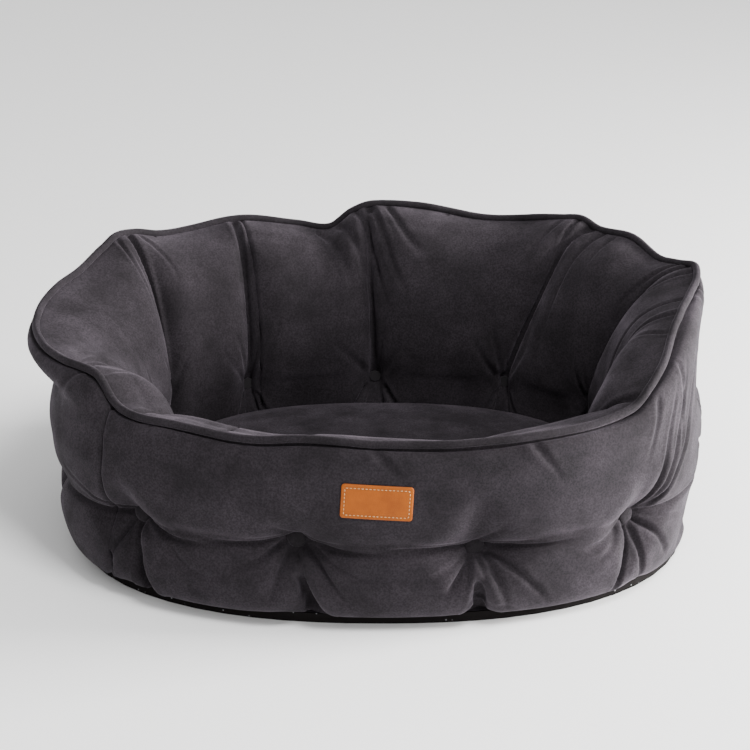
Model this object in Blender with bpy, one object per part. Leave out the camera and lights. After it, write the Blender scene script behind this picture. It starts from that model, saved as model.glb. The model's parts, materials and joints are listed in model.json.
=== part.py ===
"""Oval pet bed: a tufted bolster wall on a sewn base, with a loose zipped cushion inside.

Metres, +Z up. The origin is on the floor under the middle of the base. The front of the
bed, with the low lip and the leather label, faces -Y. Places round the wall are given in
hours, as on a dial laid over the bed: hour 0 is the middle of the front, hours grow towards
+X, and HOURS of them, equal lengths of the wall's outline, go once round.
"""

import math

import bmesh
import bpy
import numpy as np
from mathutils import Matrix, Vector

# Driving dimensions
WALL_HALF_LENGTH = 0.293
WALL_HALF_DEPTH = 0.222
OUTLINE_POWER = 2.3
HOURS = 12
FABRIC = 0.0016
GAP = 0.0004

# Stack of the base, from the floor up
UNDERSIDE_THICKNESS = 0.0015
BASE_INSET = 0.0205
PAD_BOTTOM = UNDERSIDE_THICKNESS + GAP
PAD_TOP = PAD_BOTTOM + 0.005
LINING_BOTTOM = PAD_TOP + GAP
LINING_TOP = LINING_BOTTOM + 0.0012
WALL_BOTTOM = LINING_TOP + GAP

# Wall section. An inset is a distance inwards from the wall's fullest outline.
TUFT_LANDING = 0.010
LANDING_SHARE = 0.065
TUFT_INSET_BETWEEN = 0.006
TUFT_INSET_AT_BUTTON = 0.026
INNER_FULL_INSET = 0.088
INNER_PINCH = 0.012
APEX_HALF_WIDTH = 0.002

# Height of each tuft button. They are evenly spaced, starting at the front left one.
TUFT_HEIGHTS = (0.077, 0.077, 0.069, 0.073, 0.077, 0.079, 0.078, 0.077, 0.077, 0.078, 0.077)
TUFTS = len(TUFT_HEIGHTS)
FIRST_TUFT_HOUR = -1.60
TUFT_SPACING = HOURS / TUFTS

# Rim piping
PIPING_RADIUS = 0.0034
PIPING_WALL = 0.0008
CORD_RADIUS = 0.0022
PIPING_SLIT_HALF_ANGLE = math.radians(35)

# Knots of the rim, where the piping's centre runs: (hour, height, inset)
RIM = (
    (-5.95, 0.230, 0.014),
    (-5.80, 0.223, 0.014),
    (-5.64, 0.208, 0.014),
    (-5.40, 0.213, 0.014),
    (-5.00, 0.221, 0.014),
    (-4.60, 0.218, 0.014),
    (-4.35, 0.219, 0.014),
    (-4.15, 0.226, 0.013),
    (-3.97, 0.229, 0.014),
    (-3.80, 0.223, 0.015),
    (-3.50, 0.214, 0.012),
    (-3.25, 0.210, 0.003),
    (-3.00, 0.205, -0.005),
    (-2.75, 0.200, -0.007),
    (-2.50, 0.197, -0.003),
    (-2.25, 0.196, 0.005),
    (-2.05, 0.196, 0.012),
    (-1.92, 0.192, 0.016),
    (-1.80, 0.175, 0.018),
    (-1.60, 0.170, 0.0145),
    (-1.30, 0.171, 0.014),
    (-0.80, 0.167, 0.014),
    (-0.40, 0.1705, 0.014),
    (0.00, 0.167, 0.014),
    (0.50, 0.166, 0.014),
    (1.00, 0.168, 0.014),
    (1.40, 0.170, 0.015),
    (1.65, 0.175, 0.015),
    (1.82, 0.186, 0.018),
    (2.00, 0.193, 0.024),
    (2.38, 0.205, 0.034),
    (2.77, 0.212, 0.031),
    (3.04, 0.215, 0.020),
    (3.25, 0.218, 0.009),
    (3.42, 0.222, 0.004),
    (3.58, 0.218, 0.010),
    (3.80, 0.215, 0.014),
    (4.08, 0.224, 0.014),
    (4.37, 0.223, 0.014),
    (4.52, 0.230, 0.014),
    (4.68, 0.228, 0.014),
    (5.00, 0.2215, 0.014),
    (5.30, 0.220, 0.014),
    (5.70, 0.228, 0.014),
)

# Sewn panels: the hours of the seams at the two ends of each
OUTER_SEAMS = {"front": (-1.78, 3.2), "right": (3.2, 5.5), "rear": (5.5, 7.7), "left": (7.7, 10.22)}
INNER_SEAMS = {"front_left": (-5, -1), "front_right": (-1, 3), "rear": (3, 7)}
SEAM_GAP_HOURS = 0.004

# Tufting
BUTTON_RADIUS = 0.008
BUTTON_THICKNESS = 0.0055
TIE_RADIUS = 0.0009
TIE_HOLE_RADIUS = 0.0014
STOPPER_RADIUS = 0.0055
STOPPER_THICKNESS = 0.0014

# Leather label on the front
LABEL_WIDTH = 0.058
LABEL_HEIGHT = 0.028
LABEL_THICKNESS = 0.0016
LABEL_CENTRE = Vector((-0.0024, -0.2240, 0.1235))
LABEL_ROLL = math.radians(3.4)
STITCH_MARGIN = 0.0028
STITCH_RADIUS = 0.0004

# Cushion
CUSHION_INSET = 0.095
CUSHION_SEAM_HEIGHT = 0.037
CUSHION_TOP = 0.068
CUSHION_FABRIC = 0.0012
CUSHION_PIPING_RADIUS = 0.0028
CUSHION_POINTS = 40

# Zip in the underside of the cushion
ZIP_Y = 0.045
ZIP_LENGTH = 0.200
ZIP_SLOT_HALF_WIDTH = 0.008
ZIP_TAPE_WIDTH = 0.026
ZIP_COIL_WIDTH = 0.0052
ZIP_SLIDER_LENGTH = 0.011
ZIP_SLIDER_WIDTH = 0.009


def clear_scene():
    for old in list(bpy.data.objects):
        bpy.data.objects.remove(old)


# ---------------------------------------------------------------- outline and rim


def signed_power(value, power):
    return math.copysign(abs(value) ** power, value)


def outline_table(samples=1440):
    """Arc length and position along the wall's fullest outline, from the middle of the front."""
    places = []
    for i in range(samples + 1):
        angle = -math.pi / 2 + 2 * math.pi * i / samples
        places.append(
            (
                WALL_HALF_LENGTH * signed_power(math.cos(angle), 2 / OUTLINE_POWER),
                WALL_HALF_DEPTH * signed_power(math.sin(angle), 2 / OUTLINE_POWER),
            )
        )
    places = np.array(places)
    steps = np.hypot(*np.diff(places, axis=0).T)
    return np.concatenate([[0.0], np.cumsum(steps)]), places


LENGTHS, PLACES = outline_table()


def outline(hour):
    """Point on the outline at a hour, and the outward normal there."""
    whole = LENGTHS[-1]
    length = (hour / HOURS) % 1.0 * whole
    span = whole / 360
    point, before, after = (
        [np.interp(at % whole, LENGTHS, PLACES[:, axis]) for axis in (0, 1)]
        for at in (length, length - span, length + span)
    )
    normal = Vector((after[1] - before[1], before[0] - after[0], 0)).normalized()
    return Vector((point[0], point[1], 0)), normal


def place(hour, inset, height):
    """World point at a hour of the wall, this far inwards and this high."""
    point, normal = outline(hour)
    return point - normal * inset + Vector((0, 0, height))


def rim(hour):
    """Height and inset of the piping's centre: a smooth closed curve through the knots."""
    knots = [(c - HOURS, h, i) for c, h, i in RIM]
    knots += list(RIM)
    knots += [(c + HOURS, h, i) for c, h, i in RIM]
    hour = (hour + HOURS / 2) % HOURS - HOURS / 2
    k = max(n for n in range(len(knots)) if knots[n][0] <= hour)
    before, start, end, after = knots[k - 1 : k + 3]
    t = (hour - start[0]) / (end[0] - start[0])
    width = end[0] - start[0]
    values = []
    for axis in (1, 2):
        slope_in = (end[axis] - before[axis]) / (end[0] - before[0]) * width
        slope_out = (after[axis] - start[axis]) / (after[0] - start[0]) * width
        values.append(
            (2 * t**3 - 3 * t**2 + 1) * start[axis]
            + (t**3 - 2 * t**2 + t) * slope_in
            + (3 * t**2 - 2 * t**3) * end[axis]
            + (t**3 - t**2) * slope_out
        )
    return values


def tuft_hour(number):
    """Hour of a tuft button, or of a place between two where the number is not whole."""
    return FIRST_TUFT_HOUR + TUFT_SPACING * number


def tufting(hour):
    """How far the tufting pulls the wall in, 1 at a button and 0 half-way between two, and
    the height that it pulls at."""
    number = (hour - FIRST_TUFT_HOUR) / TUFT_SPACING
    before = math.floor(number)
    share = number - before
    distance = min(share, 1 - share)
    slope = min(max((distance - LANDING_SHARE) / (0.5 - LANDING_SHARE), 0.0), 1.0)
    pull = 0.5 * (1 + math.cos(math.pi * slope))
    low, high = TUFT_HEIGHTS[before % TUFTS], TUFT_HEIGHTS[(before + 1) % TUFTS]
    blend = min(max((share - LANDING_SHARE) / (1 - 2 * LANDING_SHARE), 0.0), 1.0)
    return pull, low + (high - low) * blend


# ---------------------------------------------------------------- wall sections


def outer_profile(hour):
    """(inset, height) up the outside of the wall, from the base seam to the piping."""
    height, lean = rim(hour)
    pull, level = tufting(hour)
    tuft = TUFT_INSET_BETWEEN + (TUFT_INSET_AT_BUTTON - TUFT_INSET_BETWEEN) * pull
    return [
        (BASE_INSET - 0.0005, WALL_BOTTOM),
        (0.006, 0.021),
        (0.001, 0.043),
        (tuft, level - TUFT_LANDING),
        (tuft, level + TUFT_LANDING),
        (-0.001, 0.118),
        (0.001 + lean * 0.45, height - 0.024),
        (lean - APEX_HALF_WIDTH, height - PIPING_RADIUS - 2 * GAP),
    ]


def inner_profile(hour):
    """(inset, height) down the inside of the wall, from the piping to the base seam."""
    height, lean = rim(hour)
    pull, level = tufting(hour)
    tuft = INNER_FULL_INSET - INNER_PINCH * pull
    return [
        (lean + APEX_HALF_WIDTH, height - PIPING_RADIUS - 2 * GAP),
        (lean * 0.8 + 0.026, height - 0.016),
        (lean * 0.3 + 0.064, height - 0.050),
        (tuft, level + TUFT_LANDING),
        (tuft, level - TUFT_LANDING),
        (0.084, 0.030),
        (0.072, WALL_BOTTOM),
    ]


def offset_profile(profile, distance):
    """The open profile moved sideways: to the right of its direction where distance is positive."""
    points = [Vector(p) for p in profile]
    moved = []
    for i, point in enumerate(points):
        ways = []
        if i > 0:
            ways.append((point - points[i - 1]).normalized())
        if i < len(points) - 1:
            ways.append((points[i + 1] - point).normalized())
        along = sum(ways, Vector((0, 0))).normalized()
        mitre = max(along.dot(ways[0]), 0.5)
        sideways = Vector((along.y, -along.x))
        moved.append(tuple(point + sideways * distance / mitre))
    return moved


def stations_between(start, end):
    """The hours of a wall piece's sections: its two ends and, between them, the seams, both
    sides of each button's landing, and three places from each button to the next."""
    steps = (LANDING_SHARE, 0.28, 0.5, 0.72, 1 - LANDING_SHARE)
    every = [tuft_hour(k + s) for k in range(-TUFTS, 2 * TUFTS) for s in steps]
    ends = [hour for pair in (*OUTER_SEAMS.values(), *INNER_SEAMS.values()) for hour in pair]
    every += [hour % HOURS + turn * HOURS for hour in ends for turn in (-1, 0, 1)]
    inside = sorted({hour for hour in every if start + 0.01 < hour < end - 0.01})
    return [start] + inside + [end]


# ---------------------------------------------------------------- mesh helpers


def new_object(name, mesh, material):
    obj = bpy.data.objects.new(name, mesh)
    bpy.context.scene.collection.objects.link(obj)
    mesh.materials.append(material)
    return obj


def loft(name, rings, material, closed=False):
    """A solid through rings of equal length: closed on itself, or with a flat cap at each end.
    Every quad is split from its lower near corner to its upper far one, so that nested
    solids bend along the same lines and keep their distance."""
    bm = bmesh.new()
    loops = [[bm.verts.new(p) for p in ring] for ring in rings]
    pairs = list(zip(loops, loops[1:]))
    if closed:
        pairs.append((loops[-1], loops[0]))
    else:
        bm.faces.new(reversed(loops[0]))
        bm.faces.new(loops[-1])
    for low, high in pairs:
        for i in range(len(low)):
            j = (i + 1) % len(low)
            if low[i].co.z < low[j].co.z:
                bm.faces.new((low[i], low[j], high[j]))
                bm.faces.new((low[i], high[j], high[i]))
            else:
                bm.faces.new((low[i], low[j], high[i]))
                bm.faces.new((low[j], high[j], high[i]))
    bmesh.ops.recalc_face_normals(bm, faces=bm.faces)
    mesh = bpy.data.meshes.new(name)
    bm.to_mesh(mesh)
    bm.free()
    mesh.shade_smooth()
    mesh.set_sharp_from_angle(angle=math.radians(50))
    return new_object(name, mesh, material)


def circle(radius, sides):
    return [
        (
            radius * math.cos(2 * math.pi * i / sides),
            radius * math.sin(2 * math.pi * i / sides),
        )
        for i in range(sides)
    ]


def turned(name, profile, sides, material, matrix):
    """A turned solid from (radius, distance along the axis) pairs, placed by the matrix."""
    rings = [
        [matrix @ Vector((x, y, along)) for x, y in circle(radius, sides)]
        for radius, along in profile
    ]
    return loft(name, rings, material)


def box(name, low, high, material):
    corners = [(low[0], low[1]), (high[0], low[1]), (high[0], high[1]), (low[0], high[1])]
    rings = [[Vector((x, y, z)) for x, y in corners] for z in (low[2], high[2])]
    return loft(name, rings, material)


def cut(obj, cutter):
    modifier = obj.modifiers.new("cut_" + cutter.name, "BOOLEAN")
    modifier.operation = "DIFFERENCE"
    modifier.solver = "EXACT"
    modifier.object = cutter


def hide_cutter(obj):
    obj.hide_render = True
    obj.display_type = "WIRE"


def material(name, colour, roughness, metallic=0.0):
    made = bpy.data.materials.new(name)
    made.use_nodes = True
    shader = made.node_tree.nodes["Principled BSDF"]
    shader.inputs["Base Color"].default_value = (*colour, 1)
    shader.inputs["Roughness"].default_value = roughness
    shader.inputs["Metallic"].default_value = metallic
    return made


# ---------------------------------------------------------------- base


def base_ring(inset, height, step=0.2):
    count = round(HOURS / step)
    return [place(i * step, inset, height) for i in range(count)]


def build_base(grip, wadding, velvet):
    """Grip fabric turned up round the edge, and in it a wadding pad under the lining."""
    inner = BASE_INSET + UNDERSIDE_THICKNESS
    loft(
        "base_grip_underside",
        [
            base_ring(BASE_INSET, 0.0),
            base_ring(BASE_INSET, LINING_TOP),
            base_ring(inner, LINING_TOP),
            base_ring(inner, UNDERSIDE_THICKNESS),
        ],
        grip,
    )
    pad_inset = inner + GAP
    loft("base_wadding", [base_ring(pad_inset, z) for z in (PAD_BOTTOM, PAD_TOP)], wadding)
    loft("base_lining", [base_ring(pad_inset, z) for z in (LINING_BOTTOM, LINING_TOP)], velvet)


# ---------------------------------------------------------------- wall


def tie_matrix(number):
    """Frame of a tuft tie: its origin on the outline at tuft height, +Z out of the wall."""
    point, normal = outline(tuft_hour(number))
    point.z = TUFT_HEIGHTS[number]
    side = Vector((0, 0, 1)).cross(normal)
    turn = Matrix((side, Vector((0, 0, 1)), normal)).transposed()
    return Matrix.Translation(point) @ turn.to_4x4()


def build_panels(side, seams, profile, thickness_side, velvet, cutters):
    """One sewn cover panel for each stretch between seams, with its tie holes."""
    for label, (start, end) in seams.items():
        rings = []
        for hour in stations_between(start + SEAM_GAP_HOURS, end - SEAM_GAP_HOURS):
            face = profile(hour)
            back = offset_profile(face, thickness_side * FABRIC)
            rings.append([place(hour, *p) for p in face + back[::-1]])
        panel = loft(f"{side}_panel_{label}", rings, velvet)
        for hour, cutter in cutters.items():
            if (hour - start) % HOURS < end - start:
                cut(panel, cutter)


def build_fill(wadding):
    """Stuffing lobes, one from each tuft tie to the next, clear of both covers."""
    clearance = FABRIC + 0.0010
    clear_of_tie = 0.013
    for number in range(TUFTS):
        rings = []
        start, end = tuft_hour(number + clear_of_tie), tuft_hour(number + 1 - clear_of_tie)
        for hour in stations_between(start, end):
            height, lean = rim(hour)
            outside = offset_profile(outer_profile(hour), clearance)[:-1]
            inside = offset_profile(inner_profile(hour), clearance)[1:]
            top = (lean + 0.006, height - 0.013)
            rings.append([place(hour, *p) for p in outside + [top] + inside])
        loft(f"wall_fill_{number + 1:02d}", rings, wadding)


def build_tufting(velvet, thread):
    """Covered buttons outside, each tied through the wall to a stopper inside.
    Returns the cutters of the tie holes by hour."""
    cutters = {}
    for number in range(TUFTS):
        frame = tie_matrix(number)
        back = -TUFT_INSET_AT_BUTTON + GAP
        front = back + BUTTON_THICKNESS
        dome = [
            (BUTTON_RADIUS * 0.86, back),
            (BUTTON_RADIUS, back + 0.0018),
            (BUTTON_RADIUS * 0.84, front - 0.0012),
            (BUTTON_RADIUS * 0.4, front),
        ]
        turned(f"tuft_button_{number + 1:02d}", dome, 12, velvet, frame)
        inside = -(INNER_FULL_INSET - INNER_PINCH)
        stop_face = inside - GAP
        tie = [
            (STOPPER_RADIUS, stop_face - STOPPER_THICKNESS),
            (STOPPER_RADIUS, stop_face),
            (TIE_RADIUS, stop_face),
            (TIE_RADIUS, back - GAP),
        ]
        turned(f"tuft_tie_{number + 1:02d}", tie, 8, thread, frame)
        hole = [(TIE_HOLE_RADIUS, stop_face - 0.005), (TIE_HOLE_RADIUS, 0.005)]
        cutter = turned(f"tie_hole_{number + 1:02d}", hole, 6, thread, frame)
        hide_cutter(cutter)
        cutters[tuft_hour(number)] = cutter
    return cutters


def build_piping(velvet, cord):
    """Rim piping: a strip of velvet folded round a cord, its open edge sewn down on the wall."""
    first = tuft_hour(LANDING_SHARE)
    stations = stations_between(first, first + HOURS)[:-1]
    half_open = PIPING_SLIT_HALF_ANGLE
    arc = [
        -math.pi / 2 + half_open + (2 * math.pi - 2 * half_open) * i / 5 for i in range(6)
    ]

    def around(radius, angles):
        return [(radius * math.cos(a), radius * math.sin(a)) for a in angles]

    inner_radius = PIPING_RADIUS - PIPING_WALL
    section = around(PIPING_RADIUS, arc) + around(inner_radius, arc[::-1])
    cover, core = [], []
    for hour in stations:
        height, inset = rim(hour)
        cover.append([place(hour, inset + x, height + z) for x, z in section])
        core.append([place(hour, inset + x, height + z) for x, z in circle(CORD_RADIUS, 6)])
    loft("rim_piping_cover", cover, velvet, closed=True)
    loft("rim_piping_cord", core, cord, closed=True)


# ---------------------------------------------------------------- label


def build_label(leather, thread):
    """Leather label on the front panel, and the thread sewn round it."""
    face_out = Matrix.Rotation(math.pi / 2, 4, "X")
    frame = Matrix.Translation(LABEL_CENTRE) @ Matrix.Rotation(LABEL_ROLL, 4, "Y") @ face_out

    def rounded(width, height, radius):
        points = []
        for quarter, (sx, sy) in enumerate(((1, 1), (-1, 1), (-1, -1), (1, -1))):
            for turn in (0.0, 0.5, 1.0):
                angle = math.pi / 2 * (quarter + turn)
                x = sx * (width / 2 - radius) + radius * math.cos(angle)
                y = sy * (height / 2 - radius) + radius * math.sin(angle)
                points.append((x, y))
        return points

    plate = [
        [frame @ Vector((x, y, z)) for x, y in rounded(LABEL_WIDTH, LABEL_HEIGHT, 0.0025)]
        for z in (0.0, LABEL_THICKNESS)
    ]
    loft("label_leather", plate, leather)
    width = LABEL_WIDTH - 2 * STITCH_MARGIN
    height = LABEL_HEIGHT - 2 * STITCH_MARGIN
    level = LABEL_THICKNESS + GAP + STITCH_RADIUS
    section = circle(STITCH_RADIUS, 4)
    path = rounded(width, height, 0.0015)
    rings = []
    for i, (x, y) in enumerate(path):
        before, after = Vector(path[i - 1]), Vector(path[(i + 1) % len(path)])
        along = (after - before).normalized()
        out = Vector((along.y, -along.x))
        rings.append(
            [frame @ Vector((x + out.x * u, y + out.y * u, level + v)) for u, v in section]
        )
    loft("label_stitching", rings, thread, closed=True)


# ---------------------------------------------------------------- cushion


def cushion_ring(scale, height, inset=CUSHION_INSET):
    """A level ring of the cushion: its outline drawn in by the scale."""
    ring = []
    for i in range(CUSHION_POINTS):
        point = place(i * HOURS / CUSHION_POINTS, inset, height)
        ring.append(Vector((point.x * scale, point.y * scale, height)))
    return ring


def dished(name, outer, thickness, up, material_used):
    """A thin sewn cover through (scale, height) pairs from its middle out to the seam."""
    inner = [(scale - 0.008, height - up * thickness) for scale, height in outer]
    inner[-1] = (outer[-1][0] - thickness / 0.15, outer[-1][1])
    inner[0] = (outer[0][0], outer[0][1] - up * thickness)
    rings = [cushion_ring(*p) for p in inner + outer[::-1]]
    return loft(name, rings, material_used)


def build_cushion(velvet, wadding):
    floor = WALL_BOTTOM
    seam = CUSHION_SEAM_HEIGHT
    top = [(0.35, CUSHION_TOP), (0.68, 0.0655), (0.87, 0.059), (0.965, 0.049), (0.985, seam + 0.004)]
    bottom = [(0.60, floor), (0.86, floor), (0.945, 0.020), (0.985, seam - 0.004)]
    dished("cushion_cover_top", top, CUSHION_FABRIC, 1, velvet)
    cover_bottom = dished("cushion_cover_bottom", bottom, CUSHION_FABRIC, -1, velvet)
    fill = [
        (0.80, floor + 0.0046),
        (0.92, 0.0235),
        (0.962, seam - 0.005),
        (0.962, seam + 0.005),
        (0.93, 0.048),
        (0.84, 0.0572),
        (0.66, 0.0635),
        (0.34, CUSHION_TOP - 0.0022),
    ]
    loft("cushion_fill", [cushion_ring(*p) for p in fill], wadding)

    stations = [i * HOURS / CUSHION_POINTS for i in range(CUSHION_POINTS)]
    inset = CUSHION_INSET
    rings = [
        [place(c, inset + x, seam + z) for x, z in circle(CUSHION_PIPING_RADIUS, 6)]
        for c in stations
    ]
    loft("cushion_piping", rings, velvet, closed=True)
    return cover_bottom


def build_zip(cover_bottom, tape, metal):
    """Zip across the underside of the cushion: tape, coil, two end stops and the slider."""
    half = ZIP_LENGTH / 2
    slot_half = half + 0.006
    floor = WALL_BOTTOM
    slot = box(
        "zip_slot",
        (-slot_half, ZIP_Y - ZIP_SLOT_HALF_WIDTH, floor - 0.004),
        (slot_half, ZIP_Y + ZIP_SLOT_HALF_WIDTH, floor + 0.004),
        tape,
    )
    hide_cutter(slot)
    cut(cover_bottom, slot)

    slider_low = floor + 0.0002
    plate = 0.0008
    coil_low = slider_low + plate + GAP
    coil_high = coil_low + 0.0014
    tape_low = coil_high + 0.0008
    tape_half = ZIP_TAPE_WIDTH / 2
    coil_half = ZIP_COIL_WIDTH / 2
    box(
        "cushion_zip_tape",
        (-slot_half - 0.008, ZIP_Y - tape_half, tape_low),
        (slot_half + 0.008, ZIP_Y + tape_half, tape_low + 0.0008),
        tape,
    )
    box(
        "cushion_zip_coil",
        (-half, ZIP_Y - coil_half, coil_low),
        (half, ZIP_Y + coil_half, coil_high),
        tape,
    )
    for label, x in (("left", -half - 0.0024), ("right", half + 0.0004)):
        box(
            f"cushion_zip_stop_{label}",
            (x, ZIP_Y - coil_half, coil_low),
            (x + 0.002, ZIP_Y + coil_half, coil_high),
            metal,
        )
    channel = [
        (-ZIP_SLIDER_WIDTH / 2, 0.0),
        (ZIP_SLIDER_WIDTH / 2, 0.0),
        (ZIP_SLIDER_WIDTH / 2, coil_high - slider_low + GAP),
        (coil_half + GAP, coil_high - slider_low + GAP),
        (coil_half + GAP, plate),
        (-coil_half - GAP, plate),
        (-coil_half - GAP, coil_high - slider_low + GAP),
        (-ZIP_SLIDER_WIDTH / 2, coil_high - slider_low + GAP),
    ]
    end = half - 0.001
    rings = [
        [Vector((x, ZIP_Y + y, slider_low + z)) for y, z in channel]
        for x in (end - ZIP_SLIDER_LENGTH, end)
    ]
    loft("cushion_zip_slider", rings, metal)


def main():
    clear_scene()
    velvet = material("slate_velvet", (0.062, 0.058, 0.066), 0.85)
    wadding = material("white_wadding", (0.85, 0.84, 0.80), 0.95)
    grip = material("black_grip_fabric", (0.012, 0.012, 0.012), 0.8)
    thread = material("grey_thread", (0.10, 0.095, 0.10), 0.7)
    cord = material("cotton_cord", (0.75, 0.72, 0.65), 0.9)
    leather = material("tan_leather", (0.55, 0.24, 0.06), 0.5)
    stitch = material("cream_stitch", (0.80, 0.62, 0.38), 0.7)
    tape = material("zip_tape", (0.03, 0.03, 0.035), 0.7)
    metal = material("zip_metal", (0.35, 0.35, 0.36), 0.35, 1.0)

    build_base(grip, wadding, velvet)
    cutters = build_tufting(velvet, thread)
    build_panels("outer", OUTER_SEAMS, outer_profile, 1, velvet, cutters)
    build_panels("inner", INNER_SEAMS, inner_profile, 1, velvet, cutters)
    build_fill(wadding)
    build_piping(velvet, cord)
    build_label(leather, stitch)
    cover_bottom = build_cushion(velvet, wadding)
    build_zip(cover_bottom, tape, metal)


main()
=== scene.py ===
"""Looks of the tufted oval pet bed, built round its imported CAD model.

Metres, +Z up, front of the bed towards -Y. Places round the wall are given in hours, as on a
dial laid over the bed: hour 0 is the middle of the front, hours grow towards +X, and HOURS of
them go once round. The wall's cloth is a grid: its columns go round the bed from the front
left button, and its rows from the base seam up the outside, over the rim and down the inside.
"""

import json
import math

import bmesh
import bpy
import numpy as np
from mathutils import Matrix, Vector

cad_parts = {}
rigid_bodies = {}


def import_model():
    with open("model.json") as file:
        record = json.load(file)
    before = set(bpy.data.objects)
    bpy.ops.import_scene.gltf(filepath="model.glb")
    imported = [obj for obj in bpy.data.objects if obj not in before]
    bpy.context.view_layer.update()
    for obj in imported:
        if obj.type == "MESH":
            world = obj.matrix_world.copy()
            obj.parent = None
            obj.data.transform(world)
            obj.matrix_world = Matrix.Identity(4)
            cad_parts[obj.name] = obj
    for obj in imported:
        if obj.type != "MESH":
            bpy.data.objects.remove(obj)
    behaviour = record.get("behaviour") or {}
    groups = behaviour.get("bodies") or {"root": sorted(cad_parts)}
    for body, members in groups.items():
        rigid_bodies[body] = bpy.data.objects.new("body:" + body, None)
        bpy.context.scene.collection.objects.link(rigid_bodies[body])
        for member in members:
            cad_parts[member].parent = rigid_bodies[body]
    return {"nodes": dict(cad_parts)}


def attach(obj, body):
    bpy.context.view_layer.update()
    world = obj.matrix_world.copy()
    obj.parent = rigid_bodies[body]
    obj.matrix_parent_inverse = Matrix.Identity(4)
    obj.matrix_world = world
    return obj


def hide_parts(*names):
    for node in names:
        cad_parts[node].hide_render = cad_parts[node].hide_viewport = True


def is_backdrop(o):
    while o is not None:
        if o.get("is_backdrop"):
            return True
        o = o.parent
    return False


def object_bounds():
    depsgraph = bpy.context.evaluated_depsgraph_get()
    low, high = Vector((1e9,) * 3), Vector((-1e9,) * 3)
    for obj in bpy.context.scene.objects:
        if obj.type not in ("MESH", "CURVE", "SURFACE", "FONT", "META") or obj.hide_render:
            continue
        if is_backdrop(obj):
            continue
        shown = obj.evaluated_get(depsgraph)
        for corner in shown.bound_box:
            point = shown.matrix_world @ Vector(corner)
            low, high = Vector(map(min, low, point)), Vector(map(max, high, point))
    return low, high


# The wall, as the CAD has it
WALL_HALF_LENGTH = 0.293
WALL_HALF_DEPTH = 0.222
OUTLINE_POWER = 2.3
HOURS = 12
TUFT_HEIGHTS = (0.077, 0.077, 0.069, 0.073, 0.077, 0.079, 0.078, 0.077, 0.077, 0.078, 0.077)
TUFTS = len(TUFT_HEIGHTS)
FIRST_TUFT_HOUR = -1.60
TUFT_SPACING = HOURS / TUFTS
MEAN_TUFT_HEIGHT = 0.077
TUFT_INSET = 0.026
INNER_TUFT_INSET = 0.0755
WALL_BOTTOM = 0.0089
PIPING_RADIUS = 0.0034
CUSHION_INSET = 0.095
CUSHION_SEAM_HEIGHT = 0.037
# Knots of the rim: hour, then height and inset of the piping's centre in millimetres
RIM = (
    (-5.95, 230, 14), (-5.80, 223, 14), (-5.64, 208, 14), (-5.40, 213, 14), (-5.00, 221, 14),
    (-4.60, 218, 14), (-4.35, 219, 14), (-4.15, 226, 13), (-3.97, 229, 14), (-3.80, 223, 15),
    (-3.50, 214, 12), (-3.25, 210, 3), (-3.00, 205, -5), (-2.75, 200, -7), (-2.50, 197, -3),
    (-2.25, 196, 5), (-2.05, 196, 12), (-1.92, 192, 16), (-1.80, 175, 18), (-1.60, 170, 14.5),
    (-1.30, 171, 14), (-0.80, 167, 14), (-0.40, 170.5, 14), (0.00, 167, 14), (0.50, 166, 14),
    (1.00, 168, 14), (1.40, 170, 15), (1.65, 175, 15), (1.82, 186, 18), (2.00, 193, 24),
    (2.38, 205, 34), (2.77, 212, 31), (3.04, 215, 20), (3.25, 218, 9), (3.42, 222, 4),
    (3.58, 218, 10), (3.80, 215, 14), (4.08, 224, 14), (4.37, 223, 14), (4.52, 230, 14),
    (4.68, 228, 14), (5.00, 221.5, 14), (5.30, 220, 14), (5.70, 228, 14),
)
# Sewn panels: the hours that each runs from and to
OUTER_SEAMS = {
    "front": (-1.78, 3.2),
    "right": (3.2, 5.5),
    "rear": (5.5, 7.7),
    "left": (7.7, 10.22),
}
INNER_SEAMS = {"front_left": (-5, -1), "front_right": (-1, 3), "rear": (3, 7)}

# Cloth grid of the wall, and the length of cloth that one step across or down it holds
COLUMNS_PER_TUFT = 40
COLUMNS = TUFTS * COLUMNS_PER_TUFT
TUFT_ROW = 17
RIM_ROW = 47
INNER_TUFT_ROW = 77
LAST_ROW = 92
ROWS = LAST_ROW + 1
TUFT_LENGTH = 0.151
ROW_LENGTH = 0.0042
FINENESS = 2

# Cloth solver: a slack makes its threads give, more for shear and for bending over 2 or 4 rows
STEPS = 380
STEP_PUSH = 8.0e-5
STEP_DAMPING = 0.93
STRETCH_SLACK = 0.02
SHEAR_SLACK = 0.8
BEND_SLACK = {2: 4.5, 4: 12.0}

# Spare cloth across and down the wall, in bands: share, middle row and half width in rows
SPARE_ACROSS = (
    (0.075, 8, 5), (-0.03, 17, 2.5), (0.03, 28, 9), (0.035, 60, 9), (0.06, 84, 6), (-0.01, 77, 2.5)
)
SPARE_DOWN = ((0.07, 9, 5), (0.06, 17, 4), (0.035, 32, 10), (0.035, 62, 10))

# What holds the cloth: the patch under a button or tie, and how far each pulls the cloth in
TIE_PATCH_STEP = 0.0040
PULL_DEPTHS = {TUFT_ROW: 0.019, INNER_TUFT_ROW: 0.009}
PULL_REACH = 4.5
WALL_CLOTH_FLOOR = 0.0095
RIM_CLOTH_DROP = 0.0024

# Two inner pillows that lie smooth
CALM_HOURS = (2.75, -3.3)
CALM_PASSES = 32

# The inner wall between its valleys: swell, how far a valley takes it back, valley width in
# tufts, and the rows that it fills
PUFF_SWELL = 0.0085
PUFF_SUNK = 0.0175
VALLEY_WIDTH = 0.15
PUFF_ROW = 63
PUFF_HALF_ROWS = 12.5

# Folds drawn on the settled cloth: their share of a fold's depth, and the most in and out
FOLD_SHARE = 0.62
FOLD_LOW = 0.0033
FOLD_LOW_BASE = 0.0055
FOLD_HIGH = 0.0014

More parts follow.
